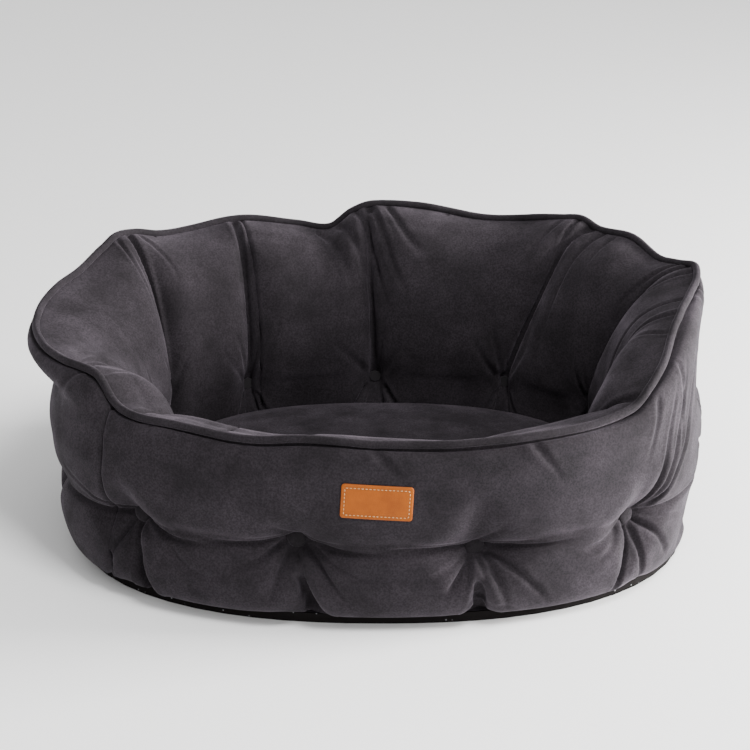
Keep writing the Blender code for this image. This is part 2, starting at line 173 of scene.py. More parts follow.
# Folds of the outer wall: start (tuft, row), bow in rows, end (tuft, row), depth and width in
# millimetres. Tuft 0 is the front left button, and a fraction is a place between two buttons.
# A fold is deepest at its start.
FOLDS = (
    # front left button and the corner beside it
    ((0.05, 17.2), -1.2, (0.58, 16.6), 6, 2.2),
    ((0.95, 18), -0.4, (0.46, 17.4), 5, 2.2),
    ((0.30, 14.2), -5, (0.76, 15.2), 2.5, 2.4),
    ((0.02, 14.5), 0, (0.12, 1), 5, 3),
    ((0.10, 0.5), 1, (0.05, 9), 18, 6.5),
    ((-0.06, 17), 0.5, (-0.85, 16.2), 4.5, 2.6),
    ((-0.05, 14.5), 0, (-0.24, 3), 3, 3),
    ((-0.07, 19), 0, (-0.62, 25), 2.5, 3),
    ((-0.25, 0.5), 0, (-0.12, 8), 3, 3),
    # second button
    ((1.06, 17.4), -0.7, (1.64, 16.4), 5, 2.2),
    ((1.95, 17.6), 0.2, (1.46, 17.2), 6.5, 2),
    ((1.05, 15.8), 1, (1.38, 3), 4.5, 2.8),
    ((1.07, 16.6), -0.5, (1.46, 10.5), 4.5, 2.4),
    ((1.10, 0.5), 1, (1.03, 9.5), 19, 7.5),
    ((1.00, 14), 1.5, (1.10, 4), 3, 3),
    ((0.96, 14.5), 0, (0.84, 4), 3, 2.8),
    ((0.94, 17), -1, (0.62, 12), 4.5, 2.4),
    ((0.97, 19.5), 0, (0.86, 27), 1.6, 3.2),
    # third button
    ((2.05, 17.4), -0.6, (2.62, 16.8), 6.5, 2),
    ((2.95, 17), -1.2, (2.50, 14.2), 4.5, 2.2),
    ((2.03, 0.5), 1, (2.00, 9.5), 19, 7.5),
    ((2.00, 14), 2, (2.06, 6), 3, 3),
    ((2.07, 15.2), 1.5, (2.42, 4), 4.5, 2.8),
    ((2.05, 14.6), 0.8, (2.20, 3), 3, 2.6),
    ((1.95, 16.8), 0.5, (1.50, 15.6), 4, 2.2),
    ((1.95, 15.2), -0.8, (1.72, 12), 4, 2.2),
    ((1.96, 14.6), -0.8, (1.80, 8), 4, 2.6),
    ((1.97, 14.2), -0.5, (1.90, 4), 3, 2.8),
    ((2.10, 5), 0, (2.26, 3.5), 2.5, 2.4),
    ((2.03, 19.5), 0, (2.16, 28), 1.6, 3.2),
    # fourth button and the gathers of the right corner
    ((3.06, 17.4), -0.5, (3.94, 17.4), 5.5, 2.6),
    ((2.96, 14.5), -0.6, (2.82, 1.5), 7, 3.4),
    ((3.00, 14), 0, (3.06, 2), 4.5, 3),
    ((3.05, 15), 0.8, (3.34, 4), 4.5, 2.8),
    ((3.07, 16.2), 0.5, (3.62, 10), 3.5, 2.6),
    ((2.94, 16.4), 0, (2.66, 10.5), 3, 2.6),
    ((3.05, 19.5), 3.5, (3.38, 43), 3.2, 3),
    ((3.09, 19), 4, (3.62, 43.5), 3.4, 3),
    ((3.12, 18.6), 4, (3.86, 41), 3.4, 3),
    ((3.45, 43.5), -2, (3.32, 30), 1.8, 3.4),
    ((3.14, 43), -1, (3.00, 34), 1.8, 3.4),
    ((4.00, 36), -1, (3.62, 34), 2, 3.4),
    # soft hollows under the rim of the front
    ((1.44, 44.5), 0, (1.62, 37), 2, 4),
    ((0.72, 44.5), 0, (0.60, 36), 1.6, 4),
    ((2.32, 44.5), 0, (2.46, 35), 2, 4),
    ((0.16, 44.5), 0, (0.22, 38), 2, 3.4),
    ((-0.42, 45), 0, (-0.62, 38), 3, 3),
)
# Valleys of the inner wall, one for each tie in turn: the place on the rim that it runs down
# from, counted in tufts, and how strong it is
VALLEYS = (
    (0.00, 0.5), (1.00, 0.5), (2.00, 0.5), (3.05, 0.6), (4.00, 0.5),
    (4.64, 1.0), (5.52, 1.1), (7.05, 0.7), (7.94, 0.6), (8.74, 1.1),
    (10.56, 0.7),
)
# Gathers of the inner wall beside its valleys
INNER_FOLDS = (
    ((8.86, 48.5), 1, (9.06, 60), 3, 2.4),
    ((8.66, 49), 0, (8.58, 58), 2.5, 2.4),
    ((7.12, 48.5), 1, (6.88, 66), 6.5, 3.4),
    ((7.03, 48.5), 2, (6.76, 63), 5, 3),
    ((7.24, 49), -1, (6.98, 68), 4.5, 3),
    ((6.92, 48.5), 2, (6.64, 57), 3, 2.4),
    ((7.38, 49.5), -2, (7.16, 62), 3, 2.4),
    ((5.62, 48.5), 1, (5.78, 64), 4.5, 2.6),
    ((5.42, 48.5), -1, (5.60, 68), 4.5, 2.6),
    ((5.74, 49), 1, (5.96, 58), 2.5, 2.4),
    ((5.32, 49), -1, (5.34, 58), 2.5, 2.4),
    ((4.72, 48.5), 1, (4.92, 60), 4, 2.6),
    ((4.55, 48.5), -1, (4.62, 62), 4, 2.6),
    ((3.72, 48.5), 0, (3.86, 56), 2.5, 2.6),
    ((10.50, 48.8), 0.5, (10.10, 54), 3, 2.2),
    ((10.50, 49.2), 0.5, (10.13, 59), 3.4, 2.2),
    ((10.51, 49.6), 0, (10.22, 64), 3.4, 2.2),
    ((10.53, 49.8), 0, (10.36, 66), 3, 2.2),
    ((10.68, 48.8), 0, (10.58, 58), 2.2, 2.2),
)

# Loose cushion
CUSHION_COLUMNS = 320
CUSHION_STEPS = 220
CUSHION_SEAM_ROW = 23
CUSHION_TOP = 0.068
CUSHION_FLOOR = 0.0089
CUSHION_PIPING_RADIUS = 0.0028
ZIP_Y = 0.045
ZIP_SLOT = (0.106, 0.008)

# Leather label
LABEL_WIDTH = 0.058
LABEL_HEIGHT = 0.028
LABEL_THICKNESS = 0.0016
LABEL_CENTRE = (-0.0024, 0.1235)
LABEL_ROLL = math.radians(3.4)
LABEL_CORNER = 0.0025
STITCH_MARGIN = 0.0028
STITCH_LENGTH = 0.0021
STITCH_PITCH = 0.0031
# Section of its edge from the back: inset, and height as a share of the thickness
LABEL_SECTION = (
    (0.0, 0.0), (-0.0001, 0.5), (0.0001, 0.85), (0.0006, 1.0), (0.0018, 1.02), (0.0024, 0.96),
    (0.0028, 0.90), (0.0032, 0.96), (0.0038, 1.02), (0.0048, 1.03),
)

# Covered button: radius and height of each ring
BUTTON_PROFILE = (
    (0.0001, -0.0020), (0.0050, -0.0020), (0.0074, -0.0012), (0.0084, 0.0004), (0.0083, 0.0014),
    (0.0076, 0.0024), (0.0062, 0.0032), (0.0042, 0.0038), (0.0020, 0.0041), (0.0001, 0.0042),
)
BUTTON_OUT = 0.0022

# Velvet: its colour, and how light it is on each part; the piping and buttons are darker as
# painted shade
SLATE = (0.0122, 0.0100, 0.0122)
VELVET_PAINTED_SHADE = {"outer": 1.0, "inner": 1.0, "piping": 0.8, "button": 0.6, "cushion": 1.0, "lining": 1.0}

# Studio: the sky's strength and how it changes across the scene, and the lights as name,
# place, target, size, power and colour
SKY_LEVEL = 0.97
SKY_SLOPE = (0.45, -0.15, 0.0)
LIGHTS = (
    ("key_right", (2.0, 0.05, 0.50), (0, 0, 0.1), 0.8, 205, (1.0, 0.985, 0.97)),
    ("front_right", (1.15, -1.75, 0.75), (0, 0, 0.1), 0.5, 9, (1.0, 1.0, 1.0)),
    ("top", (0.55, -0.9, 2.0), (0, 0, 0.15), 0.6, 44, (1.0, 1.0, 1.0)),
)

# Camera: solved from the rim in the photograph
SENSOR = 36
LENS = 104.16
FOCAL_PIXELS = 2170
CAMERA_ELEVATION = math.radians(24)
CAMERA_DISTANCE = 1.95
CAMERA_TARGET_HEIGHT = 0.1
AIM_LEFT_PIXELS = 5
AIM_UP_PIXELS = 40


# ---- outline and rim


def outline_table(samples=2880):
    angle = -math.pi / 2 + 2 * math.pi * np.arange(samples + 1) / samples
    x, y = (
        half * np.sign(wave) * abs(wave) ** (2 / OUTLINE_POWER)
        for half, wave in ((WALL_HALF_LENGTH, np.cos(angle)), (WALL_HALF_DEPTH, np.sin(angle)))
    )
    lengths = np.concatenate([[0.0], np.cumsum(np.hypot(np.diff(x), np.diff(y)))])
    return lengths, x, y


LENGTHS, OUTLINE_X, OUTLINE_Y = outline_table()


def outline(hours):
    """Points on the outline at these hours, and the outward normals, each (n, 2)."""
    whole = LENGTHS[-1]
    length = (np.asarray(hours) / HOURS) % 1.0 * whole
    span = whole / 360

    def at(places):
        places = places % whole
        return np.stack(
            [np.interp(places, LENGTHS, OUTLINE_X), np.interp(places, LENGTHS, OUTLINE_Y)], -1
        )

    along = at(length + span) - at(length - span)
    normal = np.stack([along[..., 1], -along[..., 0]], -1)
    return at(length), normal / np.linalg.norm(normal, axis=-1, keepdims=True)


def place(hours, inset, height):
    """World points at these hours, this far inwards from the outline and this high."""
    point, normal = outline(hours)
    flat = point - normal * np.asarray(inset)[..., None]
    height = np.broadcast_to(height, flat.shape[:-1])
    return np.concatenate([flat, height[..., None]], -1)


def hermite_weights(t):
    """Weights of the start, the slope there, the end, and the slope there."""
    return 2 * t**3 - 3 * t**2 + 1, t**3 - 2 * t**2 + t, 3 * t**2 - 2 * t**3, t**3 - t**2


def rim(hours):
    """Height and inset of the piping's centre: a smooth closed curve through the knots."""
    knots = np.array(RIM) / (1, 1000, 1000)
    knots = np.concatenate([knots - (HOURS, 0, 0), knots, knots + (HOURS, 0, 0)])
    hours = (np.asarray(hours, float) + HOURS / 2) % HOURS - HOURS / 2
    k = np.searchsorted(knots[:, 0], hours, side="right") - 1
    width = knots[k + 1, 0] - knots[k, 0]
    start, leave, end, arrive = hermite_weights((hours - knots[k, 0]) / width)
    found = []
    for axis in (1, 2):
        values = knots[:, axis]
        slopes = (values[2:] - values[:-2]) / (knots[2:, 0] - knots[:-2, 0])
        low, high = slopes[k - 1] * width, slopes[k] * width
        found.append(start * values[k] + leave * low + end * values[k + 1] + arrive * high)
    return found


# ---- noise and helpers


def smooth_noise(shape, across, down, seed):
    """Noise between about -1 and 1 over the cloth grid, periodic along its first axis."""
    rng = np.random.default_rng(seed)
    values = rng.standard_normal(shape)
    fu = np.fft.fftfreq(shape[0])[:, None]
    fv = np.fft.fftfreq(shape[1])[None, :]
    keep = np.exp(-((fu * across) ** 2) * 2 - ((fv * down) ** 2) * 2)
    values = np.real(np.fft.ifft2(np.fft.fft2(values) * keep))
    return values / (abs(values).max() + 1e-9)


def hermite_rows(knot_rows, knot_values):
    """Values at every row between knots: (rows, columns) from (knots, columns)."""
    knot_rows = np.asarray(knot_rows, float)
    knot_values = np.asarray(knot_values, float)
    slopes = np.gradient(knot_values, knot_rows, axis=0)
    rows = np.arange(int(knot_rows[0]), int(knot_rows[-1]) + 1)
    k = np.clip(np.searchsorted(knot_rows, rows, side="right") - 1, 0, len(knot_rows) - 2)
    width = (knot_rows[k + 1] - knot_rows[k])[:, None]
    start, leave, end, arrive = hermite_weights((rows - knot_rows[k])[:, None] / width)
    return (
        start * knot_values[k]
        + leave * slopes[k] * width
        + end * knot_values[k + 1]
        + arrive * slopes[k + 1] * width
    )


def hermite_knots(knots, columns):
    """Both values of knots (row, value, value) at every row, each (rows, columns)."""
    rows = [knot[0] for knot in knots]
    for axis in (1, 2):
        yield hermite_rows(rows, [np.broadcast_to(knot[axis], columns) for knot in knots])


# ---- wall cloth


def tuft_hour(number):
    return FIRST_TUFT_HOUR + TUFT_SPACING * number


def column_hours(columns=COLUMNS):
    return tuft_hour(np.arange(columns) * TUFTS / columns)


def hump(hours, middle, half_width):
    """A smooth hump round one hour: 1 in its middle, 0 a few half widths away."""
    away = (hours - middle + HOURS / 2) % HOURS - HOURS / 2
    return np.exp(-((away / half_width) ** 2))


def plump_wall():
    """The wall's cloth as it would stand with its ties slack: points (columns, rows, 3)."""
    hours = column_hours()
    height, lean = rim(hours)
    rise = height - RIM_CLOTH_DROP - MEAN_TUFT_HEIGHT
    number = (hours - FIRST_TUFT_HOUR) / TUFT_SPACING
    pinch = np.exp(-(((number - np.round(number) - 0.04) / 0.07) ** 2))
    # the roll that flops outwards at the left, and the neck of the right corner
    flop = hump(hours, -2.74, 0.50)
    waist = hump(hours, 3.22, 0.45)
    # where the photograph's outline stands further in than the plain oval
    left = 0.0045 * hump(hours, -3.0, 0.9)
    taper = 0.0070 * hump(hours, 2.65, 0.8) + 0.0035 * hump(hours, -2.9, 0.8)
    front = hump(hours, 0.0, 1.7)
    drawn = 0.0135 * hump(hours, 2.95, 0.95)

    def up(share, fixed=0.0):
        return MEAN_TUFT_HEIGHT + rise * share + fixed

    # the section of the wall from the base seam up and over: row, inset, height
    outer = [
        (0, 0.0195 + pinch * 0.0080 + left * 0.6, WALL_BOTTOM),
        (3, 0.0085 + drawn * 0.8 + left + taper * 0.8, 0.0180),
        (8, 0.0020 + drawn + left + taper, 0.040),
        (13, 0.0035 + drawn * 0.8 + left + taper * 0.6, 0.061),
        (17, 0.0075 + drawn * 0.4 + left, MEAN_TUFT_HEIGHT),
        (23, 0.0020 + drawn * 0.8 + left, up(0.17)),
        (27, 0.0008 + drawn * 0.9 + left - waist * 0.0030, up(0.29)),
        (30, drawn + left + waist * 0.0130, up(0.40)),
        (34, 0.0005 + lean * 0.10 + drawn + left + flop * 0.005 + waist * 0.0080, up(0.55)),
        (38, 0.0005 + lean * 0.25 + drawn * 0.7 + flop * 0.017 + waist * 0.0025, up(0.73)),
        (41, lean * 0.42 + drawn * 0.3 + flop * 0.002, up(0.83) - flop * 0.003),
        (43, lean * 0.58 - flop * 0.0085, up(0.915) - flop * 0.003),
        (45, lean * 0.76 - flop * 0.0060, up(0.975)),
        (46, lean + 0.0012 - flop * 0.0030, up(1.0, -0.0034)),
        (47, lean, up(1.0)),
    ]
    inner = [
        (50, lean + 0.013, up(1.0, -0.0005) - front * 0.0065),
        (54, lean * 0.80 + 0.032, up(0.91) - front * 0.0085),
        (60, lean * 0.40 + 0.056, up(0.68)),
        (69, lean * 0.10 + 0.076, up(0.32)),
        (77, 0.084, MEAN_TUFT_HEIGHT),
        (83, 0.087, 0.049),
        (88, 0.086, 0.026),
        (92, 0.076, WALL_BOTTOM),
    ]
    knots = outer + inner
    inset, level = hermite_knots(knots, COLUMNS)
    inset += inner_puffs().T
    point, normal = outline(hours)
    flat = point[:, None] - normal[:, None] * inset.T[..., None]
    return np.concatenate([flat, level.T[..., None]], -1)


def valley_places():
    """Where each inner valley crosses each row, in tufts: (TUFTS, rows)."""
    down = np.clip((np.arange(ROWS) - RIM_ROW) / (INNER_TUFT_ROW - RIM_ROW), 0, 1)
    tops = np.array([top for top, _ in VALLEYS])[:, None]
    return tops + (np.arange(TUFTS)[:, None] - tops) * down**1.2


def inner_puffs():
    """How far the inner wall swells between its valleys, in metres: (columns, rows)."""
    at = np.arange(COLUMNS)[:, None] / COLUMNS_PER_TUFT
    row = np.arange(ROWS)[None, :]
    sunk = np.zeros((COLUMNS, ROWS))
    for places, (_, strength) in zip(valley_places(), VALLEYS):
        away = (at - places[None, :] + TUFTS / 2) % TUFTS - TUFTS / 2
        sunk = np.maximum(sunk, strength * np.exp(-((away / VALLEY_WIDTH) ** 2)))
    swell = PUFF_SWELL - PUFF_SUNK * sunk
    return swell * np.exp(-(((row - PUFF_ROW) / PUFF_HALF_ROWS) ** 4)) * (row > RIM_ROW)


def valley_folds():
    """Each valley as two folds, one down from the rim and one up from its tie."""
    found = []
    for number, (places, (top, strength)) in enumerate(zip(valley_places(), VALLEYS)):
        found.append(((top, 48.5), 0.0, (places[74], 74.0), 9.0 * strength, 4.0))
        found.append(((number, 76.0), 0.0, (places[56], 56.0), 8.0 * strength, 5.0))
    return tuple(found)


def repeated_folds():
    """Folds for the buttons and ties that the listed ones leave out, no two alike."""
    rng = np.random.default_rng(7)
    found = []

    def around(number, step, low, high):
        return (number + step + rng.uniform(-0.05, 0.05), rng.uniform(low, high))

    def spoke(number, step, offset, row, bow, rows, depths, width):
        end = around(number, step, *rows)
        found.append(((number + offset, row), bow, end, rng.uniform(*depths), width))

    for number in range(4, 10):
        bow = rng.uniform(-2.5, -0.5)
        found.append(((number + 0.06, 17.2), bow, (number + 0.96, 17.4), 5.0, 2.5))
        start = (number + rng.uniform(-0.03, 0.08), 0.5)
        found.append((start, 0.5, (number, 13.0), 16.0, 6.5))
        for step in (-0.30, -0.16, 0.10, 0.24, 0.38):
            side = np.sign(step)
            spoke(number, step, 0.05 * side, 15.2, 0.8 * side, (2, 7), (2.5, 4.5), 2.7)
        for step, offset in ((-0.36, -0.06), (0.40, 0.06)):
            spoke(number, step, offset, 16.6, -0.5, (10, 13), (2.5, 4.0), 2.5)
        for step, offset in ((-0.28, -0.05), (0.18, 0.05)):
            spoke(number, step, offset, 19.5, 1.0, (26, 36), (1.6, 3.2), 3.0)
        found.append((around(number, 0.3, 44, 45), 0.0, around(number, 0.36, 36, 39), 1.6, 4.0))
    for number in range(TUFTS):
        for step in (-0.32, -0.14, 0.12, 0.30):
            spoke(number, step, 0.25 * step, 79.0, 0.0, (85, 90), (2, 4), 2.8)
            spoke(number, step, 0.25 * step, 75.5, 0.0, (63, 70), (1.5, 3.5), 2.8)
    return tuple(found)


def all_folds():
    return FOLDS + INNER_FOLDS + valley_folds() + repeated_folds()


def fold_field(folds, fineness):
    """How far the folds move each point of the grid out (+) or in (-), in metres."""
    per_tuft = COLUMNS_PER_TUFT * fineness
    columns, rows = TUFTS * per_tuft, LAST_ROW * fineness + 1
    size = np.array([TUFT_LENGTH, ROW_LENGTH])
    v = np.arange(rows)[None, :] / fineness * ROW_LENGTH
    parts = 8
    field = np.zeros((columns, rows))
    for start, bow, end, depth, width in folds:
        depth, width = depth / 1000, width / 1000
        t = np.linspace(0, 1, parts + 1)[:, None]
        start, end = np.array(start), np.array(end)
        middle = (start + end) / 2 + (0, bow * 2)
        line = ((1 - t) ** 2 * start + 2 * t * (1 - t) * middle + t**2 * end) * size
        reach = 5 * width
        low = math.floor((line[:, 0].min() - reach) / TUFT_LENGTH * per_tuft)
        high = math.ceil((line[:, 0].max() + reach) / TUFT_LENGTH * per_tuft)
        u = np.arange(low, high + 1)[:, None] / per_tuft * TUFT_LENGTH
        nearest = np.full((len(u), rows), 1.0)
        share = np.zeros_like(nearest)
        for k in range(parts):
            step = line[k + 1] - line[k]
            along = ((u - line[k, 0]) * step[0] + (v - line[k, 1]) * step[1]) / (step @ step)
            along = np.clip(along, 0, 1)
            away = np.hypot(u - line[k, 0] - along * step[0], v - line[k, 1] - along * step[1])
            share = np.where(away < nearest, (k + along) / parts, share)
            nearest = np.minimum(nearest, away)
        span = np.maximum(width * (1 - 0.45 * share) / fineness**0.35, ROW_LENGTH / fineness)
        valley = np.exp(-((nearest / span) ** 2))
        shoulder = 0.45 * np.exp(-(((nearest - 2.2 * span) / (1.2 * span)) ** 2))
        fade = depth * (1 - share**1.5) ** 0.8
        np.add.at(field, np.arange(low, high + 1) % columns, fade * (shoulder - valley))
    return field


def surface_normals(grid, wrap=True):
    if wrap:
        across = np.roll(grid, -1, 0) - np.roll(grid, 1, 0)
    else:
        across = np.gradient(grid, axis=0)
    down = np.gradient(grid, axis=1)
    normal = np.cross(across, down)
    return normal / (np.linalg.norm(normal, axis=-1, keepdims=True) + 1e-12)


def grid_constraints(plump, excess_across, excess_down, pinned):
    """Distance constraints of a cloth grid, in batches whose pairs share no point."""
    columns, rows = pinned.shape
    index = np.arange(columns * rows).reshape(columns, rows)
    column = np.arange(columns)[:, None] + np.zeros((1, rows), int)
    row = np.arange(rows)[None, :] + np.zeros((columns, 1), int)
    ahead = np.roll(index, -1, 0)
    pairs = []
    for span in (1, 2, 4):
        slack = BEND_SLACK.get(span, STRETCH_SLACK)
        pairs.append((index, np.roll(index, -span, 0), column // span % 2, excess_across, slack))
        short = np.s_[:, :-span]
        first, parity = index[short], row[short] // span % 2
        pairs.append((first, index[:, span:], parity, excess_down[short], slack))
    shear = ((excess_across + excess_down) / 2)[:, :-1]
    pairs.append((index[:, :-1], ahead[:, 1:], column[:, :-1] % 2, shear, SHEAR_SLACK))
    pairs.append((ahead[:, :-1], index[:, 1:], column[:, :-1] % 2, shear, SHEAR_SLACK))

    flat = plump.reshape(-1, 3)
    loose = np.where(pinned, 0.0, 1.0).reshape(-1)
    batches = []
    for first, second, parity, excess, slack in pairs:
        rest = np.linalg.norm(flat[first] - flat[second], axis=-1) * (1 + excess)
        total = loose[first] + loose[second]
        for side in (0, 1):
            live = (parity == side) & (total > 0)
            a, b = first[live], second[live]
            share = 1.0 / (total[live] + slack)
            moves = [(loose[end] * share)[:, None] for end in (a, b)]
            batches.append((a, b, rest[live], *moves))
    return batches


def relax(plump, start, pinned, excess, push, most, steps, floor):
    """Lets stuffed cloth settle: pressure pushes it out, its threads and its pins hold it in.

    most is how far each point may stand outside the plump shape, floor how low it may sink.
    """
    batches = grid_constraints(plump, *excess, pinned)
    out = surface_normals(plump).reshape(-1, 3)
    flat_plump = plump.reshape(-1, 3)
    points = start.reshape(-1, 3).copy()
    before = points.copy()
    free = (~pinned).reshape(-1, 1)
    push, most = push.reshape(-1, 1), most.reshape(-1)
    lowest = np.minimum(floor, flat_plump[:, 2])
    for step in range(steps):
        normal = surface_normals(points.reshape(plump.shape)).reshape(-1, 3)
        speed = (points - before) * STEP_DAMPING
        before = points.copy()
        ramp = STEP_PUSH * min(1.0, (step + 10) / 60)
        points = points + (speed + normal * push * ramp) * free
        for first, second, rest, move_first, move_second in batches:
            gap = points[second] - points[first]
            length = np.sqrt(np.einsum("ij,ij->i", gap, gap)) + 1e-12
            gap *= ((length - rest) / length)[:, None]
            points[first] += gap * move_first
            points[second] -= gap * move_second
        beyond = np.einsum("ij,ij->i", points - flat_plump, out) - most
        over = beyond > 0
        points[over] -= out[over] * (0.4 * beyond[over])[:, None] * free[over]
        points[:, 2] = np.maximum(points[:, 2], lowest)
    return points.reshape(plump.shape)


def tuft_places():
    """Grid place, world place and outward normal of each button, then of each inner tie."""
    sides = ((TUFT_ROW, TUFT_INSET, 1), (INNER_TUFT_ROW, INNER_TUFT_INSET, -1))
    for tuft_row, inset, sign in sides:
        for number in range(TUFTS):
            point, normal = outline(np.array(tuft_hour(number)))
            yield number * COLUMNS_PER_TUFT, tuft_row, point - normal * inset, normal, number, sign


def relax_wall():
    """The tufted wall: buttons and ties pull the plump cloth in, stuffing pushes it out."""
    plump = plump_wall()
    out = surface_normals(plump)
    start = plump.copy()
    row = np.arange(ROWS)[None, :]

    def spare(bands):
        total = sum(share * np.exp(-(((row - at) / half) ** 2)) for share, at, half in bands)
        return total * np.ones((COLUMNS, 1))

    pinned = np.zeros((COLUMNS, ROWS), bool)
    pinned[:, (0, RIM_ROW, LAST_ROW)] = True
    for column, tuft_row, flat, normal, number, sign in tuft_places():
        tangent = np.array([-normal[1], normal[0]])
        for i in (-1, 0, 1):
            for j in (-1, 0, 1):
                at = ((column + i) % COLUMNS, tuft_row + j)
                level = TUFT_HEIGHTS[number] + sign * j * TIE_PATCH_STEP
                start[at] = (*(flat + tangent * i * TIE_PATCH_STEP), level)
                pinned[at] = True

    # the pull of each button and tie spreads over the cloth round it
    column = np.arange(COLUMNS)[:, None]
    near = abs((column + COLUMNS_PER_TUFT / 2) % COLUMNS_PER_TUFT - COLUMNS_PER_TUFT / 2)
    pull = np.zeros((COLUMNS, ROWS))
    for tuft_row, depth in PULL_DEPTHS.items():
        reach = np.hypot(near, (row - tuft_row) * 1.1)
        pull += depth * np.exp(-np.maximum(reach - 1.5, 0) / PULL_REACH)

    folds = fold_field(all_folds(), 1)
    shift = smooth_noise((COLUMNS, ROWS), 14, 10, 3) * 0.0012 + folds - pull
    start += out * np.where(pinned, 0, shift)[..., None]
    push = 1 + np.clip(folds / 0.0022, -3.0, 0.5)
    push[:, RIM_ROW - 6 : RIM_ROW + 6] *= 0.8

    most = np.full((COLUMNS, ROWS), 0.0035)
    inner_low = INNER_TUFT_ROW - 1
    most[:, RIM_ROW - 7 : RIM_ROW + 7] = 0.003
    most[:, RIM_ROW + 7 : inner_low] = 0.010
    most[:, inner_low:] = np.linspace(0.008, 0.0015, ROWS - inner_low)[None, :]
    steps = STEPS
    excess = (spare(SPARE_ACROSS), spare(SPARE_DOWN))
    grid = relax(plump, start, pinned, excess, push, most, steps, WALL_CLOTH_FLOOR)
    evened = (np.roll(grid, 1, 0) + 2 * grid + np.roll(grid, -1, 0)) / 4
    grid = np.where(pinned[..., None], grid, evened)

    calm = sum(hump(column_hours(), middle, 0.8) for middle in CALM_HOURS)
    calm = 0.5 * np.minimum(calm, 1)[:, None, None]
    inside = slice(RIM_ROW + 2, INNER_TUFT_ROW - 4)
    for _ in range(CALM_PASSES):
        around = sum(np.roll(grid, step, axis) for axis in (0, 1) for step in (1, -1)) / 4
        grid[:, inside] += (calm * (around - grid))[:, inside]
    return grid


def refine(grid):
    """The same cloth with a point between each two: cubic midpoints both ways."""

    def halve(points, periodic):
        if periodic:
            before, after, later = (np.roll(points, s, 0) for s in (1, -1, -2))
        else:
            before = np.concatenate([2 * points[:1] - points[1:2], points[:-1]])
            after = np.concatenate([points[1:], 2 * points[-1:] - points[-2:-1]])
            later = np.concatenate([after[1:], 2 * after[-1:] - after[-2:-1]])
        middle = (9 * (points + after) - before - later) / 16
        both = np.stack([points, middle], 1).reshape(-1, *points.shape[1:])
        return both if periodic else both[:-1]

    grid = halve(grid, True)
    return halve(grid.swapaxes(0, 1), False).swapaxes(0, 1)


def wall_cloth():
    """The relaxed wall on a grid FINENESS times finer, its folds drawn sharp."""
    grid = refine(relax_wall())
    folds = fold_field(all_folds(), FINENESS)
    row = np.arange(folds.shape[1]) / FINENESS
    deepest = FOLD_LOW + FOLD_LOW_BASE * np.exp(-((row / 7.5) ** 2))
    folds = np.clip(folds * FOLD_SHARE, -deepest, FOLD_HIGH)
    ripple = smooth_noise(folds.shape, 22, 18, 5) * 0.0005
    ripple += smooth_noise(folds.shape, 60, 50, 6) * 0.0009
    still = np.zeros_like(folds)
    for fixed_row in (0, RIM_ROW * FINENESS, LAST_ROW * FINENESS):
        away = abs(np.arange(folds.shape[1]) - fixed_row)[None, :]
        still = np.maximum(still, np.exp(-((away / 3.0) ** 2)))
    return grid + surface_normals(grid) * ((folds + ripple) * (1 - still))[..., None]


# ---- meshes


def add_object(name, data):
    obj = bpy.data.objects.new(name, data)
    bpy.context.scene.collection.objects.link(obj)
    return obj


def mesh_object(name, points, faces, material):
    mesh = bpy.data.meshes.new(name)
    mesh.from_pydata(np.asarray(points).tolist(), [], faces)
    mesh.validate()
    mesh.shade_smooth()
    mesh.materials.append(material)
    return add_object(name, mesh)


def face_outwards(obj):
    """Turns the faces of closed bodies outwards."""
    shape = bmesh.new()
    shape.from_mesh(obj.data)
    bmesh.ops.recalc_face_normals(shape, faces=shape.faces)
    shape.to_mesh(obj.data)
    shape.free()


def quads(index):
    """Quads between neighbours in a grid of point numbers, as lists."""
    around = [index[:-1, :-1], index[1:, :-1], index[1:, 1:], index[:-1, 1:]]
    return np.stack(around, -1).reshape(-1, 4).tolist()


def sheet_faces(columns, rows, wrap=False):
    """Quads of a grid; wrap joins its last column to its first."""
    index = np.arange(columns * rows).reshape(columns, rows)
    if wrap:
        index = np.concatenate([index, index[:1]])
    return quads(index)


def panel_mesh(name, grid, first, last, rows, material):
    """One sewn panel cut from the relaxed wall, its edges turned in along the seams."""
    columns = np.arange(first, last + 1) % len(grid)
    points = grid[columns][:, rows[0] : rows[1] + 1].copy()
    out = surface_normals(points, wrap=False)
    for column, depth in ((0, 0.0020), (1, 0.0008), (-1, 0.0020), (-2, 0.0008)):
        points[column] -= out[column] * depth
    tucked_first = points[:1] - out[:1] * 0.005
    tucked_last = points[-1:] - out[-1:] * 0.005
    points = np.concatenate([tucked_first, points, tucked_last])
    faces = sheet_faces(*points.shape[:2])
    return mesh_object(name, points.reshape(-1, 3), faces, material)


def sweep(name, rings, material, closed=True):
    """A surface through rings of points (rings, sides, 3), capped where it isn't closed."""
    count, sides = rings.shape[:2]
    index = np.arange(count * sides).reshape(count, sides)
    index = np.concatenate([index, index[:, :1]], 1)
    if closed:
        index = np.concatenate([index, index[:1]])
    faces = quads(index)
    if not closed:
        faces.append(list(range(sides)))
        faces.append(list(range((count - 1) * sides, count * sides)))
    obj = mesh_object(name, rings.reshape(-1, 3), faces, material)
    face_outwards(obj)
    return obj


def spokes(across, up, sides):
    """Unit steps all round, evenly turned between two directions at right angles."""
    turn = 2 * np.pi * np.arange(sides) / sides
    return across[..., None, :] * np.cos(turn)[:, None] + up[..., None, :] * np.sin(turn)[:, None]


def tube(name, path, radius, sides, material):
    """A round tube along a closed level path of points (n, 3)."""
    along = np.roll(path, -1, 0) - np.roll(path, 1, 0)
    along /= np.linalg.norm(along, axis=1, keepdims=True)
    side = np.cross(along, (0, 0, 1.0))
    side /= np.linalg.norm(side, axis=1, keepdims=True)
    up = np.cross(side, along)
    radius = np.broadcast_to(radius, (len(path),))[:, None, None]
    return sweep(name, path[:, None] + spokes(side, up, sides) * radius, material)


# ---- materials


